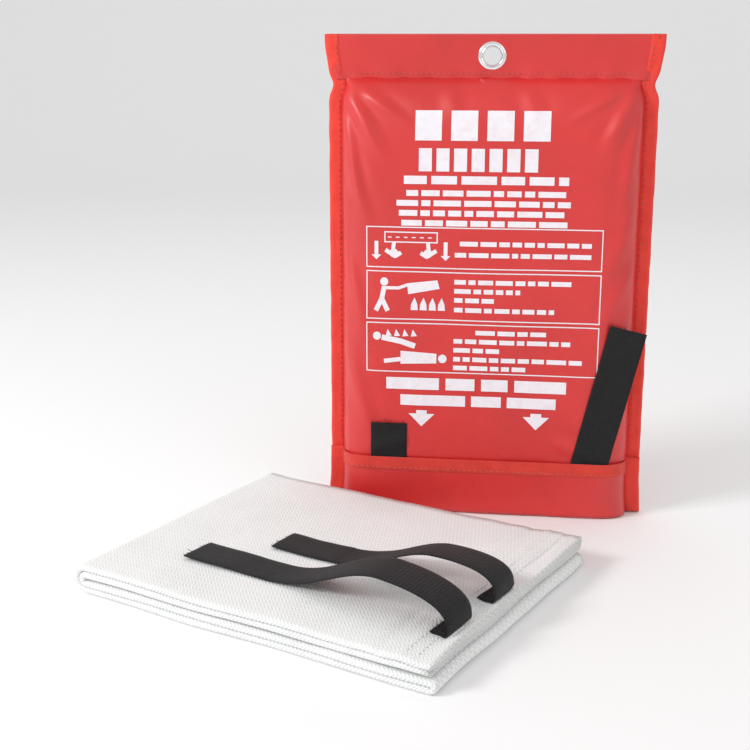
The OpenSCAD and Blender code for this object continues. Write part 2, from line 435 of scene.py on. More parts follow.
def rolled_width(spacing):
    """Across the pack: five passes rolled round each other. Gives place, level and length."""
    turn_at = PACK_W / 2 - 2 * spacing - 0.3 * MM
    short = 4 * MM                              # how much shorter the innermost pass is
    pass_steps, turn_steps = 26, 8
    path = Path((-turn_at + short, 0), 0)
    path.add()
    path.straight(2 * turn_at - short, pass_steps)
    for radius in (0.5, 1.0, 1.5, 2.0):
        path.half_turn(radius * spacing, 1, turn_steps)
        path.straight(2 * turn_at, pass_steps)
    return path.samples


def nested_length(levels, strip, reach):
    """Along the pack: top, round the outer fold, bottom, back, and round the inner fold."""
    bottom, lower, upper, top = levels
    fold_r = (top - bottom) / 2
    fold_x = -PACK_L / 2 + fold_r + strip / 2
    return_r = (lower - bottom) / 2
    return_x = PACK_L / 2 - return_r - strip / 2 - 0.5 * MM
    top_steps, pass_steps = 84, 34
    outer_steps, return_steps, inner_steps = 30, 10, 34
    path = Path((reach, top), math.pi)
    path.add()
    path.straight(reach - fold_x, top_steps)
    path.half_turn(fold_r, 1, outer_steps)
    path.straight(return_x - fold_x, pass_steps)
    path.half_turn(return_r, 1, return_steps)
    path.straight(return_x - fold_x, pass_steps)
    path.half_turn((upper - lower) / 2, -1, inner_steps)
    path.straight(reach - 2 * MM - fold_x, pass_steps)
    return path.samples


def folded_cloth(name, spacing, levels, reach, shape, body):
    """One continuous cloth, folded both ways. shape(x, y, z) gives each point's place."""
    across = rolled_width(spacing)
    along = nested_length(levels, 4 * spacing + CLOTH_T, reach)

    def place(i, j):
        (y, level), _, run_v = across[i]
        (x, z), normal, run_u = along[j]
        return shape(x + normal[0] * level, y, z + normal[1] * level), (run_v, run_u)

    cloth = piece(name, *grid(len(across), len(along), place), CLOTH, body, "glass_cloth")
    thicken(cloth, CLOTH_T)
    return cloth


LOOSE_SPACING = 1.15 * MM
LOOSE_LEVELS = (2.65 * MM, 8.15 * MM, 14.25 * MM, 19.75 * MM)
CLOTH_REACH = 147 * MM                          # from the pack's middle to the cloth's ends
EDGE_PULL = 1.6 * MM                            # how far the long edges pull in
EDGE_WANDER = 2.4 * MM
CROWN = 0.9 * MM
GATHER_PITCH = 1.55 * MM                        # small folds beside the free end
FREE_END_LIFT = 2.2 * MM
FLOOR_GAP = 0.3 * MM


def loose_shape(x, y, z):
    """Softens the loose blanket: crown, gaps at the edges, ridges at its free end."""
    end = smooth(60 * MM, 148 * MM, x)
    side = (abs(y) / (PACK_W / 2)) ** 5
    inward = 1 if y < 0 else -1
    y += side * inward * (EDGE_PULL + EDGE_WANDER * wave(x, 0, z * 9, 70 * MM, 3.1))
    x += smooth(110 * MM, 150 * MM, x) * 2.6 * MM * (wave(0, y, z * 8, 60 * MM, 7.7) - 0.5)
    x += smooth(110 * MM, 150 * MM, -x) * 1.6 * MM * (0.4 + wave(0, y, z * 3, 80 * MM, 1.7))
    if z > LEAF_MIDDLE:
        rise = (z - LEAF_MIDDLE) / LEAF_MIDDLE
        crown = CROWN * math.cos(math.pi * x / PACK_L) * math.cos(math.pi * y / PACK_W)
        ridges = 0.9 * MM * end * math.sin(x / (4.6 * MM) + 2.0 * wave(x, y, 0, 50 * MM, 4.0))
        gathers = smooth(84 * MM, 112 * MM, x) * smooth(16 * MM, 20.5 * MM, z)
        gathers *= 0.75 + wave(0, y, 0, 50 * MM, 2.6)
        ridges += 0.85 * MM * gathers * math.sin(x / GATHER_PITCH + 2.6 * wave(x, y, 0, 60 * MM, 6.4))
        soft = 0.9 * MM * wave(x, y, 0, 55 * MM, 9.0) + 0.35 * MM * wave(x, y, 0, 16 * MM, 2.0)
        fold_clear = smooth(-148 * MM, -120 * MM, x)
        z += rise * (crown + ridges + soft - 1.2 * MM * side) * fold_clear
        far_side = 0.35 + 0.65 * smooth(-0.12, 0.12, y)
        z += fold_clear * (FREE_END_LIFT * end * far_side * (0.6 + 0.4 * wave(x, y, 0, 40 * MM, 5)))
    else:
        sink = z / LEAF_MIDDLE
        z -= sink * (0.9 * MM * side * (0.5 + wave(x, y, 0, 45 * MM, 6.0)) + 0.5 * MM * end)
    z = max(z, FLOOR_GAP)
    return LOOSE_O + LOOSE_X * x + LOOSE_Y * y + Vector((0, 0, z))


def loose_blanket():
    cloth = folded_cloth(
        "loose_blanket_cloth", LOOSE_SPACING, LOOSE_LEVELS, CLOTH_REACH, loose_shape, "lower_leaf")
    cloth.parent = None
    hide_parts("loose_lower_leaf", "loose_upper_leaf")
    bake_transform(cloth)
    return cloth


PACKED_LOW, PACKED_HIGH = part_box("packed_blanket")
PACKED_SPACING = 1.0 * MM
PACKED_LEVELS = (2.35 * MM, 7.25 * MM, 12.45 * MM, 17.35 * MM)
FOLD_CLEARANCE = 6.2                            # mm that the flap's fabric needs behind the pack's fold end


def packed_shape(x, y, z):
    """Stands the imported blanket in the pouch: free end down, thinner and narrower towards its fold."""
    depth = z / (PACKED_HIGH[1] - PACKED_LOW[1])
    half = PACK_W / 2
    taper = smooth(-45 * MM, 60 * MM, -x)
    narrow = (0.965 - 0.095 * depth - 0.08 * taper) * half
    side = abs(y / half) ** 6
    y = y / half * narrow * (1 - 0.012 * side * wave(x, 0, z * 6, 60 * MM, 8.0))
    x *= 0.993
    depth_at = PACKED_HIGH[1] - (0.4 + FOLD_CLEARANCE * taper) * MM - z * 0.965 * (1 - 0.34 * taper)
    depth_at -= 0.2 * MM * wave(x, y, 0, 30 * MM, 2.0)
    return Vector((POUCH_X + y, depth_at, (PACKED_LOW[2] + PACKED_HIGH[2]) / 2 - x))


def packed_blanket():
    cloth = folded_cloth(
        "packed_blanket_cloth", PACKED_SPACING, PACKED_LEVELS, CLOTH_REACH, packed_shape, "packed")
    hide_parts("packed_blanket")
    return cloth


# ---------------------------------------------------------------- the pouch's shape
PANEL_HALF = HALF_W - BINDING_W
PANEL_T = 0.8 * MM
# Creases: two ends in (x, z), half width and height, all in millimetres
CREASES = [
    ((-118, 350), (-84, 296), 5, 1.7), ((-112, 352), (-60, 318), 4, 1.3), ((-120, 334), (-104, 262), 4, 1.2),
    ((117, 350), (90, 300), 5, 1.6), ((110, 353), (66, 326), 4, 1.2), ((120, 336), (106, 250), 5, 1.4),
    ((-119, 300), (-96, 240), 5, 0.9), ((118, 262), (98, 196), 6, 1.1), ((119, 214), (88, 150), 5, 0.9),
    ((-119, 226), (-101, 158), 5, 0.9), ((30, 350), (38, 322), 6, 0.8), ((-34, 351), (-28, 326), 6, 0.7),
    ((118, 152), (96, 78), 5, 1.0), ((-117, 140), (-92, 60), 6, 1.0), ((60, 64), (104, 52), 5, 0.7),
]


def crease(x, z):
    total = 0.0
    for (x1, z1), (x2, z2), wide, high in CREASES:
        ax, az, bx, bz = x1 * MM, z1 * MM, x2 * MM, z2 * MM
        dx, dz = bx - ax, bz - az
        t = ((x - ax) * dx + (z - az) * dz) / (dx * dx + dz * dz)
        if -0.15 < t < 1.15:
            off = math.hypot(x - ax - t * dx, z - az - t * dz) / (wide * MM)
            fade = smooth(-0.15, 0.2, t) * (1 - smooth(0.55, 1.15, t))
            total += 1.7 * high * MM * fade * (math.exp(-off * off) - 0.45 * math.exp(-((off - 1.9) ** 2)))
    return total


SHOULDER_Z = 306 * MM                           # where the bulge starts to slope back to the seam


def front_depth(x, z):
    """Distance of the front panel's middle from the pouch's back plane."""
    t = min(abs(x) / PANEL_HALF, 1.0)
    round_x = math.sqrt(max(1 - t ** 12, 0))
    top_run = SEAM_Z - SHOULDER_Z
    rise = min(max((z - SHOULDER_Z) / top_run, 0), 1)
    round_z = (1 - rise * rise) ** 0.62
    full = BULGE - 2 * PANEL_T
    soft = 1.9 * MM * wave(x, 0, z, 80 * MM, 1.0) + 0.55 * MM * wave(x, 0, z, 28 * MM, 5.0)
    edge = round_x * min(round_z * 1.4, 1)
    return 2 * PANEL_T + full * round_x * round_z + (0.5 * MM + soft + crease(x, z)) * edge


def edge_scale(z):
    """How wide the pouch is at a height: ears at the top, a pinch at the seam, a spread foot."""
    half = 129.8 * MM
    half += 2.9 * MM * smooth(SEAM_Z + 2 * MM, POUCH_H - 4 * MM, z)
    half -= 3.6 * MM * math.exp(-(((z - SEAM_Z + 5 * MM) / (7 * MM)) ** 2))
    half += 1.9 * MM * (1 - smooth(0, 34 * MM, z))
    half += 0.45 * MM * wave(0, 0, z, 26 * MM, 6.0)
    return half / HALF_W


def sway(x, z):
    """Soft waves of the thin header, still at the eyelet."""
    near = 1 - math.exp(-(((x / (26 * MM)) ** 2) + ((z - EYELET_Z) / (24 * MM)) ** 2))
    return near * smooth(SEAM_Z - 30 * MM, POUCH_H, z) * (1.3 * MM * wave(x, 0, z, 70 * MM, 2.0) - 0.4 * MM)


def at_pouch(x, depth, z):
    y = POUCH_Y - depth + min(sway(x, z), 0.6 * MM)
    return Vector((POUCH_X + x * edge_scale(z), y, z))


def cut_eyelet_hole(verts, faces):
    """Leaves out the faces behind the eyelet."""
    hole = 7.4 * MM
    kept = []
    for face in faces:
        middle = sum((verts[i] for i in face), Vector()) / len(face)
        if math.hypot(middle[0] - POUCH_X, middle[2] - EYELET_Z) > hole:
            kept.append(face)
    return kept


def front_panel():
    reach = PANEL_HALF + 4 * MM
    columns, rows = 126, 176

    def place(i, j):
        u = -1 + 2 * i / (columns - 1)
        x = reach * math.sin(u * math.pi / 2) * 0.45 + reach * u * 0.55
        z = MOUTH_Z + (SEAM_Z + 1.5 * MM - MOUTH_Z) * j / (rows - 1)
        return at_pouch(x, front_depth(x, z), z), (x, z)

    panel = piece("pouch_front_panel", *grid(columns, rows, place), RED, "pouch", "red_fabric")
    thicken(panel, PANEL_T * 0.9)
    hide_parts("front_panel")


def back_panel():
    reach = HALF_W - 3 * MM
    columns, rows = 130, 196

    def place(i, j):
        x = -reach + 2 * reach * i / (columns - 1)
        z = 0.4 * MM + (POUCH_H - 2.4 * MM) * j / (rows - 1)
        depth = 0.45 * MM + 0.22 * MM * wave(x, 0, z, 35 * MM, 3.0)
        return at_pouch(x, depth, z), (x, z)

    verts, faces, uvs = grid(columns, rows, place)
    panel = piece("pouch_back_panel", verts, cut_eyelet_hole(verts, faces), uvs, RED, "pouch", "red_fabric")
    thicken(panel, 0.6 * MM)
    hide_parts("back_panel")


def header_pucker(x, z):
    """How far the header's front face stands off its lining."""
    return max(0.5 * MM * wave(x, 0, z, 24 * MM, 8.0) + 0.3 * MM, 0)


def header_band():
    """A strip folded over the top edge, sewn down at the seam on both faces."""
    reach = HALF_W - 4 * MM
    lip = SEAM_Z - 1.5 * MM
    top = POUCH_H - 1.9 * MM
    turn_r = 1.5 * MM
    flat, turn = 24, 6
    profile = [(2.5 * MM, lip + (top - lip) * n / flat, 0) for n in range(flat + 1)]
    for n in range(1, turn):
        angle = math.pi * n / turn
        profile.append((1.0 * MM + turn_r * math.cos(angle), top + turn_r * math.sin(angle), 0))
    profile += [(-0.5 * MM, top - (top - lip) * n / flat, 1) for n in range(flat + 1)]
    columns = 140

    def place(i, j):
        x = -reach + 2 * reach * i / (columns - 1)
        depth, z, back = profile[j]
        if not back:
            around = math.hypot(x, z - EYELET_Z)
            dimple = -0.5 * MM * math.exp(-((around - 15 * MM) / (5 * MM)) ** 2)
            low = 1 - smooth(lip, lip + 14 * MM, z)
            depth += header_pucker(x, z) + dimple * 0.5
            depth += low * 0.5 * MM * (1 + math.sin(x / (3.6 * MM) + 3 * wave(x, 0, z, 40 * MM, 2)))
        return at_pouch(x, depth, z), (x, j * 1.45 * MM)

    verts, faces, uvs = grid(columns, len(profile), place)
    band = piece("pouch_header_band", verts, cut_eyelet_hole(verts, faces), uvs, RED, "pouch", "red_fabric")
    thicken(band, 0.5 * MM)
    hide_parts("header_band")


def folded_edge(name, side, z_from, z_to, inner, outer, front, back, body, rows, seed):
    """A binding tape folded round an upright edge. front and back are depths of its two faces."""
    half = (front - back) / 2
    middle = (front + back) / 2
    flat, turn = 6, 6
    profile = [(inner + (outer - half - inner) * n / flat, front) for n in range(flat + 1)]
    for n in range(1, turn):
        angle = math.pi / 2 - math.pi * n / turn
        profile.append((outer - half + half * math.cos(angle), middle + half * math.sin(angle)))
    profile += [(outer - half - (outer - half - inner) * n / flat, back) for n in range(flat + 1)]

    def place(i, j):
        x, depth = profile[i]
        z = z_from + (z_to - z_from) * j / (rows - 1)
        pucker = 0.35 * MM * wave(x * 3, 0, z, 9 * MM, seed) + 0.3 * MM * wave(0, 0, z, 30 * MM, seed + 2)
        if i <= flat:
            depth += pucker + 0.3 * MM
        x += 0.4 * MM * wave(0, 0, z, 14 * MM, seed + 5)
        return at_pouch(side * x, depth, z), (x, z)

    edge = piece(name, *grid(len(profile), rows, place), BINDING, body, "binding")
    thicken(edge, 0.55 * MM)
    return edge


def side_bindings():
    for side, name in ((-1, "left_binding"), (1, "right_binding")):
        edge = folded_edge(
            "pouch_" + name, side, z_from=0.4 * MM, z_to=POUCH_H - 0.3 * MM, inner=PANEL_HALF, outer=HALF_W,
            front=2.7 * MM, back=-0.3 * MM, body="pouch", rows=240, seed=3.0 + side)
        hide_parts(name)


# ---------------------------------------------------------------- the flap at the mouth
def flap_depth(x, z):
    over_side = 4.3 * MM
    bulging = front_depth(x, max(z, MOUTH_Z)) + 3.0 * MM
    return max(min(bulging, 27.2 * MM), over_side) + 0.25 * MM * wave(x, 0, z, 30 * MM, 4.0)


def flap_strip(name, material, slot_name, z_from, z_to, off, thickness, under, body):
    """A strip over the flap's front; under adds the fabric below the mouth."""
    reach = PANEL_HALF - 0.5 * MM
    columns, rise = 110, 14
    bend_r = 3.2 * MM
    sole_z = 0.5 * MM
    front_from = bend_r + sole_z if under else z_from
    rows = []
    if under:
        rows += [("base", n / 6) for n in range(7)]
        rows += [("bend", math.pi / 2 * n / 6) for n in range(1, 6)]
    rows += [("front", n / rise) for n in range(rise + 1)]

    def place(i, j):
        x = -reach + 2 * reach * i / (columns - 1)
        kind, t = rows[j]
        face = flap_depth(x, bend_r) + off
        near = 1.4 * MM
        if kind == "base":
            depth, z = near + (max(face - bend_r, near + MM) - near) * t, sole_z
        elif kind == "bend":
            radius = min(bend_r, (face - near) * 0.8)
            depth, z = face - radius + radius * math.sin(t), sole_z + bend_r * (1 - math.cos(t))
        else:
            z = front_from + (z_to - front_from) * t
            depth = flap_depth(x, z) + off
        return at_pouch(x, depth, z), (x, j * 3.2 * MM)

    strip = piece(name, *grid(columns, len(rows), place), material, body, slot_name)
    thicken(strip, thickness)
    return strip


def flap():
    sheet = flap_strip(
        "flap_fabric", RED, "red_fabric", z_from=0, z_to=FLAP_TOP - 1 * MM, off=0, thickness=0.6 * MM,
        under=True, body="flap")
    sheet.parent = None
    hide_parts("flap_front", "flap_base")
    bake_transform(sheet)
    hem = flap_strip(
        "flap_hem_band", BINDING, "binding", z_from=FLAP_TOP - HEM_H, z_to=FLAP_TOP, off=0.75 * MM,
        thickness=0.7 * MM, under=False, body="flap")
    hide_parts("flap_hem")
    for side, name in ((-1, "flap_left_binding"), (1, "flap_right_binding")):
        edge = folded_edge(
            name + "_tape", side, z_from=1.2 * MM, z_to=FLAP_TOP + 0.4 * MM, inner=PANEL_HALF - 1 * MM,
            outer=HALF_W + 0.2 * MM, front=5.3 * MM, back=3.4 * MM, body="flap", rows=34, seed=6.0 + side)
        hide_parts(name)


# ---------------------------------------------------------------- stitching
def stitch_line(points, radius, material, name, body, slot_name, lift):
    """Separate stitches between neighbouring pairs of points, each bowed out by lift, a vector."""
    parts = []
    for start, end in zip(points[::2], points[1::2]):
        crown = [start.lerp(end, 0.25) + lift, start.lerp(end, 0.75) + lift]
        parts.append(tube([start - lift * 0.6, *crown, end - lift * 0.6], radius))
    return piece(name, *merged(parts), material, body, slot_name)


def stitch_row(low, high, pitch, place):
    """An even number of points, a pitch apart from low to high. place(t) gives each point."""
    points = []
    t = low
    while t < high:
        points.append(place(t))
        t += pitch
    return points[:len(points) // 2 * 2]


POUCH_STITCH = 2.3 * MM


def stitching():
    outward = Vector((0, -0.35 * MM, 0))
    seam_z = SEAM_Z + 3.6 * MM
    hem_z = FLAP_TOP - HEM_H + 2.2 * MM

    def on_seam(x):
        return at_pouch(x, 3.3 * MM + header_pucker(x, seam_z), seam_z)

    def on_hem(x):
        return at_pouch(x, flap_depth(x, hem_z) + 1.3 * MM, hem_z)

    end = PANEL_HALF - 4 * MM
    row = stitch_row(-end, end, POUCH_STITCH, on_seam)
    seam = stitch_line(row, 0.42 * MM, RED_THREAD, "header_stitch_row", "pouch", "red_thread", outward)
    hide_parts("header_stitching")
    sides = []
    for side in (-1, 1):
        def on_binding(z, side=side):
            return at_pouch(side * (PANEL_HALF + 2.4 * MM), 3.6 * MM, z)

        sides += stitch_row(FLAP_TOP + 8 * MM, POUCH_H - 6 * MM, POUCH_STITCH, on_binding)
    edges = stitch_line(sides, 0.4 * MM, RED_THREAD, "binding_stitch_rows", "pouch", "red_thread", outward)
    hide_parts("binding_stitching")
    end = PANEL_HALF - 5 * MM
    row = stitch_row(-end, end, POUCH_STITCH, on_hem)
    stitch_line(row, 0.4 * MM, RED_THREAD, "flap_hem_stitches", "flap", "red_thread", outward)


# ---------------------------------------------------------------- webbing
def ribbon(name, place, steps, body, length, fray=0):
    """Webbing of TAPE_W by TAPE_T. place(s, w) gives the point on its middle surface and its normal."""
    columns = 15
    outline = []
    for n in range(columns):
        w = -TAPE_W / 2 + TAPE_W * n / (columns - 1)
        edge = 1 - (abs(w) / (TAPE_W / 2)) ** 8
        outline.append((w, TAPE_T / 2 * max(edge, 0.35)))
    ring = [(w, h) for w, h in outline] + [(w, -h) for w, h in reversed(outline)]
    verts, faces, uvs = [], [], []
    for j in range(steps + 1):
        s = length * j / steps
        for w, h in ring:
            point, normal = place(s, w)
            verts.append(point + normal * h)
            uvs.append((w, s))
    count = len(ring)
    for j in range(steps):
        for i in range(count):
            a, b = j * count + i, j * count + (i + 1) % count
            faces.append((a, b, b + count, a + count))
    for j, flip in ((0, False), (steps, True)):
        for i in range(columns - 1):
            quad = (j * count + i, j * count + i + 1, j * count + count - 2 - i, j * count + count - 1 - i)
            faces.append(quad if flip else quad[::-1])
    parts = [(verts, faces, uvs)]
    for n in range(fray):
        w = TAPE_W * (-0.47 + 0.94 * (n + random.random() * 0.6) / fray)
        start, normal = place(length * 0.995, w)
        ahead = (start - place(length * 0.97, w)[0]).normalized()
        aside = ahead.cross(normal)
        reach = (1.2 + 2.4 * random.random()) * MM * (2.2 if n == fray // 3 else 1)
        lean = random.uniform(-0.6, 0.6)
        bend = start + ahead * reach * 0.55 + aside * lean * reach * 0.3
        tip = start + ahead * reach + aside * lean * reach + normal * random.uniform(-0.2, 0.6) * MM
        parts.append(tube([start - ahead * MM, bend, tip], 0.2 * MM, 5))
    return piece(name, *merged(parts), WEBBING, body, "webbing")


# Sewn root in the loose blanket's own axes, turn in plan, flat length, arch length, arch height,
# in millimetres and degrees, and how much the arch rolls sideways
FRONT_TAPE = dict(root=(138, -68), turn=-3, flat=72, arch=150, rise=26, roll=0.10)
REAR_TAPE = dict(root=(142, -11), turn=0, flat=54, arch=128, rise=22, roll=-0.08)
ARCH_SKEW = 0.7
TAPE_BASE = LOOSE_TOP + 1.9 * MM
LOOSE_TOP_SHEET = LOOSE_LEVELS[3] + 2 * LOOSE_SPACING
PATCH_LIFT = TAPE_T / 2 + 0.55 * MM
CURL = 17 * MM
CURL_RUN = 50 * MM
PATCH_BACK = 12                                 # mm of webbing sewn down behind the root
PATCH_RUN = 12.6 * MM
LEAF_STITCH = 2.4                               # mm from stitch to stitch
POUCH_TAPE_X = 78 * MM                          # of each pouch tape, from the pouch's centre line


def loose_tape(name, spec, body, node):
    turn = math.radians(spec["turn"])
    along = LOOSE_X * -math.cos(turn) + LOOSE_Y * -math.sin(turn)
    aside = LOOSE_Y * math.cos(turn) - LOOSE_X * math.sin(turn)
    root = LOOSE_O + LOOSE_X * spec["root"][0] * MM + LOOSE_Y * spec["root"][1] * MM
    arch, rise = spec["arch"] * MM, spec["rise"] * MM
    run = arch + spec["flat"] * MM

    root_z = loose_shape(spec["root"][0] * MM, spec["root"][1] * MM, LOOSE_TOP_SHEET)[2]
    over_patch = max(root_z + PATCH_LIFT + TAPE_T + 0.7 * MM - TAPE_BASE, 0.0)

    def height(s):
        if s <= 0 or s >= arch:
            return 0.9 * MM * smooth(arch + 12 * MM, run, s) + 0.35 * MM * math.sin(s / (9 * MM))
        return rise * math.sin(math.pi * (s / arch) ** ARCH_SKEW) ** 2

    def profile(s):
        """Forward distance and lift: the tape curls out over its root before it runs back."""
        curl = CURL * math.sin(math.pi * s / CURL_RUN) if 0 < s < CURL_RUN else 0.0
        level = over_patch * (1 - smooth(4 * MM, 60 * MM, s)) + max(height(s), 0.0)
        return s - curl, level

    def place(s, w):
        forward, lift = profile(s)
        (f1, z1), (f2, z2) = profile(s - 1.5 * MM), profile(s + 1.5 * MM)
        normal = (along * (z1 - z2) + Vector((0, 0, f2 - f1))).normalized()
        roll = spec["roll"] * math.sin(math.pi * min(s / arch, 1)) * min(lift / (8 * MM), 1)
        cup = -0.5 * MM * (w / (TAPE_W / 2)) ** 2 * min(lift / (6 * MM), 1)
        drift = 1.5 * MM * math.sin(s / (60 * MM))
        point = root + along * forward + aside * (w + drift) + Vector((0, 0, TAPE_BASE + lift))
        point += normal * (cup + roll * w * 0.9 + 0.12 * MM * wave(s, w, 0, 12 * MM, 3.0))
        return point, normal

    tape = ribbon(name, place, 120, body, run, fray=14)
    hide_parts(node)


def tape_patch(name, spec, node):
    """The end of the webbing that is sewn flat to the blanket, with its box of stitches."""
    turn = math.radians(spec["turn"])
    start_x, start_y = (spec["root"][0] - PATCH_BACK) * MM, spec["root"][1] * MM

    def above(s, w, lift):
        x = start_x + s * math.cos(turn) - w * math.sin(turn)
        y = start_y + s * math.sin(turn) + w * math.cos(turn)
        return loose_shape(x, y, LOOSE_TOP_SHEET) + Vector((0, 0, lift))

    def place(s, w):
        return above(s, w, PATCH_LIFT), Vector((0, 0, 1))

    patch = ribbon(name, place, 20, "upper_leaf", PATCH_RUN)
    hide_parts(node)
    box = [(1.5, -12), (1.5, 12), (10.5, 12), (10.5, -12), (1.5, -12), (10.5, 12), (1.5, 12), (10.5, -12)]
    points = []
    for (s1, w1), (s2, w2) in zip(box[:-1], box[1:]):
        count = max(int(math.hypot(s2 - s1, w2 - w1) / LEAF_STITCH), 1)
        for n in range(count):
            for t in (n + 0.12, n + 0.88):
                s, w = (s1 + (s2 - s1) * t / count) * MM, (w1 + (w2 - w1) * t / count) * MM
                points.append(above(s, w, PATCH_LIFT + TAPE_T / 2))
    lift = Vector((0, 0, 0.25 * MM))
    stitch_line(points, 0.25 * MM, BLACK_THREAD, name + "_stitches", "upper_leaf", "webbing", lift)


def pouch_tape(name, side, lean, top, node):
    """A pouch tape that comes out of the mouth, behind the flap, and lies up the front panel.

    lean is its angle off upright, in degrees."""
    turn = math.radians(lean)
    foot_x = side * POUCH_TAPE_X
    foot_z = 5 * MM
    length = (top - foot_z) / math.cos(turn)

    def place(s, w):
        x = foot_x + s * math.sin(turn) + w * math.cos(turn)
        z = foot_z + s * math.cos(turn) - w * math.sin(turn)
        z = max(z, foot_z - 1 * MM)
        held = 98 * MM
        depth = max(front_depth(min(abs(x), held), max(z, MOUTH_Z)), BULGE - 0.4 * MM) + 1.25 * MM
        depth += 0.5 * MM * smooth(FLAP_TOP + 30 * MM, top, z) * (1 + wave(0, 0, z, 40 * MM, 5.0))
        return Vector((POUCH_X + x, POUCH_Y - depth, z)), Vector((0, -1, 0))

    tape = ribbon(name, place, 90, None, length, fray=12)
    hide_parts(node)
    bend = place((FLAP_TOP + 1.5 * MM - foot_z) / math.cos(turn), 0)[0]
    tuple(bend)
    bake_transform(tape)


def tape_roots():
    """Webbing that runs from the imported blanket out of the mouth."""
    low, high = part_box("packed_tape_roots")

    for side, name in ((-1, "left_tape_root"), (1, "right_tape_root")):
        def place(s, w, side=side):
            y = high[1] + 1 * MM - s
            return Vector((POUCH_X + side * POUCH_TAPE_X + w, y, (low[2] + high[2]) / 2)), Vector((0, 0, 1))

        root = ribbon(name, place, 6, "packed", high[1] - low[1] + 0.6 * MM)
        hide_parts("packed_tape_roots")


def leaf_hem():
    """Rows of stitches along the free end of the upper leaf."""
    points = []
    end = PACK_W / 2 - 9 * MM
    for x in (124 * MM, 133 * MM):
        def on_leaf(y, x=x):
            return loose_shape(x, y, LOOSE_TOP_SHEET) + Vector((0, 0, 0.4 * MM))

        points += stitch_row(-end, end, LEAF_STITCH * MM, on_leaf)
    lift = Vector((0, 0, 0.25 * MM))
    hem = stitch_line(
        points, 0.3 * MM, WHITE_THREAD, "upper_leaf_hem_stitches", "upper_leaf", "glass_cloth", lift)
    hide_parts("upper_leaf_hem")


# ---------------------------------------------------------------- print: bars, frames and plain signs
class Print:
    """Flat shapes in millimetres on the front panel: x from its centre, z from its foot."""

    def __init__(self):
        self.parts = []

    def on_panel(self, x, z):
        return at_pouch(x * MM, front_depth(x * MM, z * MM) + 0.62 * MM, z * MM)

    def quad(self, corners, step=3.0):
        """A four-sided patch, in small cells so that it follows the fabric."""
        (ax, az), (bx, bz), (cx, cz), (dx, dz) = corners
        across = max(int(math.hypot(bx - ax, bz - az) / step), 1)
        up = max(int(math.hypot(dx - ax, dz - az) / step), 1)

        def place(i, j):
            s, t = i / across, j / up
            x = (ax * (1 - s) + bx * s) * (1 - t) + (dx * (1 - s) + cx * s) * t
            z = (az * (1 - s) + bz * s) * (1 - t) + (dz * (1 - s) + cz * s) * t
            return self.on_panel(x, z), (x * MM, z * MM)

        self.parts.append(grid(across + 1, up + 1, place))

    def bar(self, x1, x2, z1, z2):
        self.quad([(x1, z1), (x2, z1), (x2, z2), (x1, z2)])

    def line(self, points, width):
        for (x1, z1), (x2, z2) in zip(points[:-1], points[1:]):
            long = math.hypot(x2 - x1, z2 - z1)
            ox, oz = -(z2 - z1) / long * width / 2, (x2 - x1) / long * width / 2
            self.quad([(x1 - ox, z1 - oz), (x2 - ox, z2 - oz), (x2 + ox, z2 + oz), (x1 + ox, z1 + oz)])
        for x, z in points[1:-1]:
            self.disc(x, z, width / 2)

    def disc(self, x, z, radius):
        count = 20
        turns = [2 * math.pi * k / count for k in range(count)]
        ring = [(x + radius * math.cos(turn), z + radius * math.sin(turn)) for turn in turns]
        self.fan(ring, (x, z))

    def fan(self, ring, middle):
        verts = [self.on_panel(*middle)] + [self.on_panel(*p) for p in ring]
        uvs = [(middle[0] * MM, middle[1] * MM)] + [(p[0] * MM, p[1] * MM) for p in ring]
        count = len(ring)
        faces = [(0, 1 + k, 1 + (k + 1) % count) for k in range(count)]
        self.parts.append((verts, faces, uvs))

    def words(self, x1, x2, z1, z2, mean):
        """A line of text as plain word-long bars."""
        x = x1
        while x < x2 - mean * 0.3:
            end = min(x + mean * random.uniform(0.45, 1.5), x2)
            if x2 - end < mean * 0.3:
                end = x2
            self.bar(x, end, z1, z2)
            x = end + (z2 - z1) * 0.55

    def blocks(self, x1, x2, z1, z2, count):
        """A heading as equal upright blocks."""
        pitch = (x2 - x1) / count
        for n in range(count):
            self.bar(x1 + (n + 0.13) * pitch, x1 + (n + 0.87) * pitch, z1, z2)

    def frame(self, x1, x2, z1, z2, width):
        self.bar(x1, x2, z1, z1 + width)
        self.bar(x1, x2, z2 - width, z2)
        self.bar(x1, x1 + width, z1 + width, z2 - width)
        self.bar(x2 - width, x2, z1 + width, z2 - width)

    def arrow_down(self, x, z_top, tall, head_w, shaft_w):
        head = head_w * 0.5
        neck = z_top - tall + head
        self.bar(x - shaft_w / 2, x + shaft_w / 2, neck, z_top)
        tip = [(x - head_w / 2, neck), (x, z_top - tall), (x + head_w / 2, neck)]
        self.fan(tip, (x, z_top - tall + head * 0.6))


def pull_sign(p, x, z):
    """A folded cloth with two tapes and an arrow under each."""
    p.frame(x - 22, x + 22, z + 3, z + 12, 1.0)
    for n in range(6):
        p.bar(x - 19 + n * 6.6, x - 16 + n * 6.6, z + 6.9, z + 7.8)
    for side in (-1, 1):
        p.line([(x + side * 14, z + 3), (x + side * 15, z - 5)], 3.2)
        p.line([(x + side * 21, z - 3), (x + side * 13, z - 8), (x + side * 8, z - 5)], 3.4)
        p.disc(x + side * 14, z - 5.5, 3.6)
        p.arrow_down(x + side * 28.5, z + 4, 15, 8, 3.2)


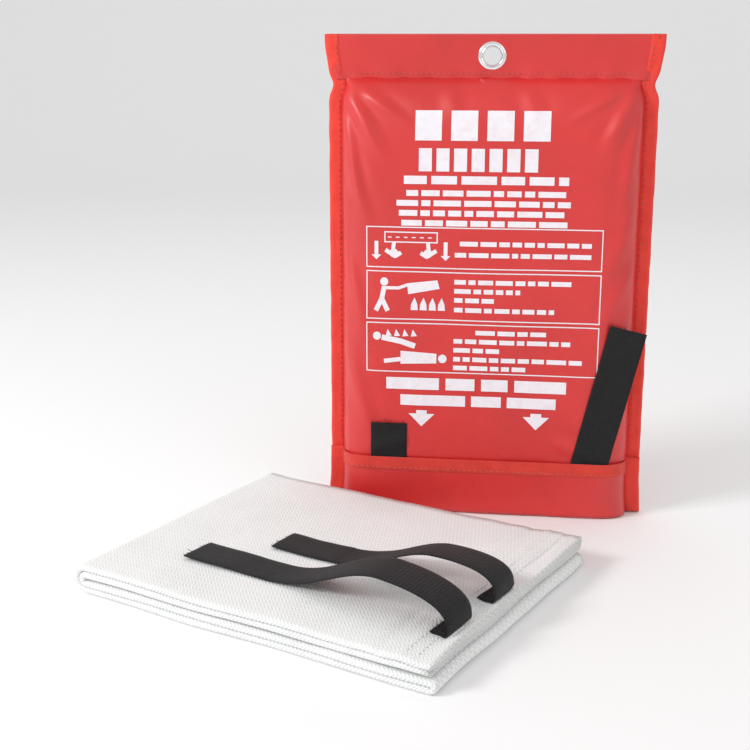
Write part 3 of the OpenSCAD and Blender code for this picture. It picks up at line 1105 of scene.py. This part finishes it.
def cover_sign(p, x, z):
    """A plain figure that holds a cloth over flames."""
    p.disc(x - 24, z + 11, 3.4)
    p.line([(x - 24, z + 7), (x - 26, z - 3), (x - 31, z - 13)], 4.0)
    p.line([(x - 26, z - 3), (x - 21, z - 13)], 4.0)
    p.line([(x - 24, z + 6), (x - 12, z + 6), (x - 4, z + 9)], 2.6)
    p.quad([(x - 4, z + 1), (x + 22, z + 6), (x + 20, z + 13), (x - 5, z + 10)])
    for n in range(4):
        foot = x + 1 + n * 7.5
        flame = ((-3, -12), (-2.6, -7), (0.3, -1.5), (2.6, -7), (3, -12))
        p.fan([(foot + across, z + up) for across, up in flame], (foot, z - 9))


def wrap_sign(p, x, z):
    """A plain lying figure, half wrapped in a cloth, and flames above."""
    p.disc(x + 27, z - 9, 3.6)
    p.quad([(x - 8, z - 14), (x + 22, z - 13), (x + 22, z - 5), (x - 8, z - 3)])
    p.line([(x - 8, z - 10), (x - 22, z - 12)], 3.6)
    p.disc(x - 28, z + 9, 3.4)
    p.line([(x - 24, z + 8), (x - 8, z + 5), (x + 4, z + 1)], 4.6)
    for n in range(4):
        foot = x - 18 + n * 7
        p.fan([(foot - 2.6, z + 9), (foot - 1, z + 15), (foot + 2.6, z + 9.5)], (foot, z + 10.5))


def front_print():
    p = Print()
    p.blocks(-63, 52, 309, 332, 4)
    p.blocks(-58, 41, 285, 303, 7)
    p.words(-68, 64, 275, 281.5, 20)
    for n, reach in enumerate(((-66, 62), (-74, 66), (-72, 66), (-70, 64))):
        z = 268 - 7.9 * n
        p.words(*reach, z - 2.4, z + 2.2, 15)
    cells = ((207.5, 241), (165, 205), (121, 162.5))
    for low, high in cells:
        p.frame(-99, 93, low, high, 0.9)
    pull_sign(p, -62, 225)
    cover_sign(p, -60, 185)
    wrap_sign(p, -62, 142)
    lines = (
        (-22, 84, 228), (-26, 84, 219),
        (-26, 74, 197), (-26, 28, 189.5), (-26, 12, 182), (-26, 56, 174),
        (-8, 50, 155.5), (-26, 70, 148), (-26, 12, 140.5), (-26, 80, 133), (-26, 34, 125.8),
    )
    for x1, x2, z in lines:
        p.words(x1, x2, z - 1.9, z + 1.9, 11)
    p.words(-82, 68, 106.5, 116.5, 34)
    p.words(-70, 60, 93, 102, 38)
    for x in (-52, 44):
        p.arrow_down(x, 89, 14, 22, 9)
    piece("front_print", *merged(p.parts), PRINT, "pouch", "print")


# ---------------------------------------------------------------- build
random.seed(11)
front_panel()
back_panel()
header_band()
side_bindings()
flap()
stitching()
front_print()
LOOSE_CLOTH = loose_blanket()
PACKED_CLOTH = packed_blanket()
loose_tape("front_pull_tape_webbing", FRONT_TAPE, "front_tape", "front_pull_tape")
loose_tape("rear_pull_tape_webbing", REAR_TAPE, "rear_tape", "rear_pull_tape")
tape_patch("front_tape_root", FRONT_TAPE, "front_tape_patch")
tape_patch("rear_tape_root", REAR_TAPE, "rear_tape_patch")
pouch_tape(
    "right_pouch_tape", side=1, lean=13, top=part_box("packed_tape_right")[1][2] - 3 * MM,
    node="packed_tape_right")
pouch_tape(
    "left_pouch_tape", side=-1, lean=0, top=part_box("packed_tape_left")[1][2],
    node="packed_tape_left")
tape_roots()
leaf_hem()
for node_name, material in (("eyelet", CHROME), ("eyelet_washer", STEEL)):
    node = frame["nodes"][node_name]
    node.data.materials.clear()
    node.data.materials.append(material)


# ---------------------------------------------------------------- floor, light and camera
def stage():
    """A pale floor that sweeps up into a far backdrop."""
    reach, back, radius, tall = 16.0, 2.4, 1.2, 6.0
    profile = [(-reach, 0.0), (back, 0.0)]
    steps = 12
    for n in range(1, steps + 1):
        turn = math.pi / 2 * n / steps
        profile.append((back + radius * math.sin(turn), radius * (1 - math.cos(turn))))
    profile.append((back + radius, tall))
    verts = [(x, y, z) for y, z in profile for x in (-reach, reach)]
    faces = [(2 * n, 2 * n + 1, 2 * n + 3, 2 * n + 2) for n in range(len(profile) - 1)]
    mesh = bpy.data.meshes.new("floor")
    mesh.from_pydata(verts, [], faces)
    mesh.polygons.foreach_set("use_smooth", [True] * len(mesh.polygons))
    floor = bpy.data.objects.new("floor", mesh)
    material, _, _, shader = graph("white_floor")
    shader.inputs["Base Color"].default_value = (0.95, 0.95, 0.95, 1)
    shader.inputs["Roughness"].default_value = 0.9
    mesh.materials.append(material)
    bpy.context.scene.collection.objects.link(floor)


def area_light(name, place, target, size, power):
    light = bpy.data.lights.new(name, "AREA")
    light.size = size
    light.energy = power
    lamp = bpy.data.objects.new(name, light)
    lamp.location = place
    lamp.rotation_euler = (Vector(target) - Vector(place)).to_track_quat("-Z", "Y").to_euler()
    bpy.context.scene.collection.objects.link(lamp)


def lights():
    middle = (0, 0, 0.15)
    area_light("key", (-1.5, -0.9, 1.25), middle, size=0.6, power=21)
    area_light("fill", (1.3, -1.4, 1.2), middle, size=1.2, power=2.5)
    area_light("top", (0.3, 0.9, 1.8), middle, size=1.0, power=3)
    world = bpy.data.worlds.new("studio")
    world.use_nodes = True
    world.node_tree.nodes["Background"].inputs[0].default_value = (1, 1, 1, 1)
    world.node_tree.nodes["Background"].inputs[1].default_value = 0.70
    bpy.context.scene.world = world


def camera():
    azimuth, elevation, distance = math.radians(7.3), math.radians(14.9), 0.90
    target = Vector((0.004, 0.0, 0.156))
    level = math.cos(elevation)
    away = Vector((level * math.sin(azimuth), -level * math.cos(azimuth), math.sin(elevation)))
    data = bpy.data.cameras.new("camera")
    data.lens = 61.0
    data.sensor_width = 36.0
    eye = bpy.data.objects.new("camera", data)
    eye.location = target + away * distance
    eye.rotation_euler = (-away).to_track_quat("-Z", "Y").to_euler()
    bpy.context.scene.collection.objects.link(eye)
    bpy.context.scene.camera = eye


stage()
lights()
camera()
bpy.context.scene.view_settings.view_transform = "Standard"
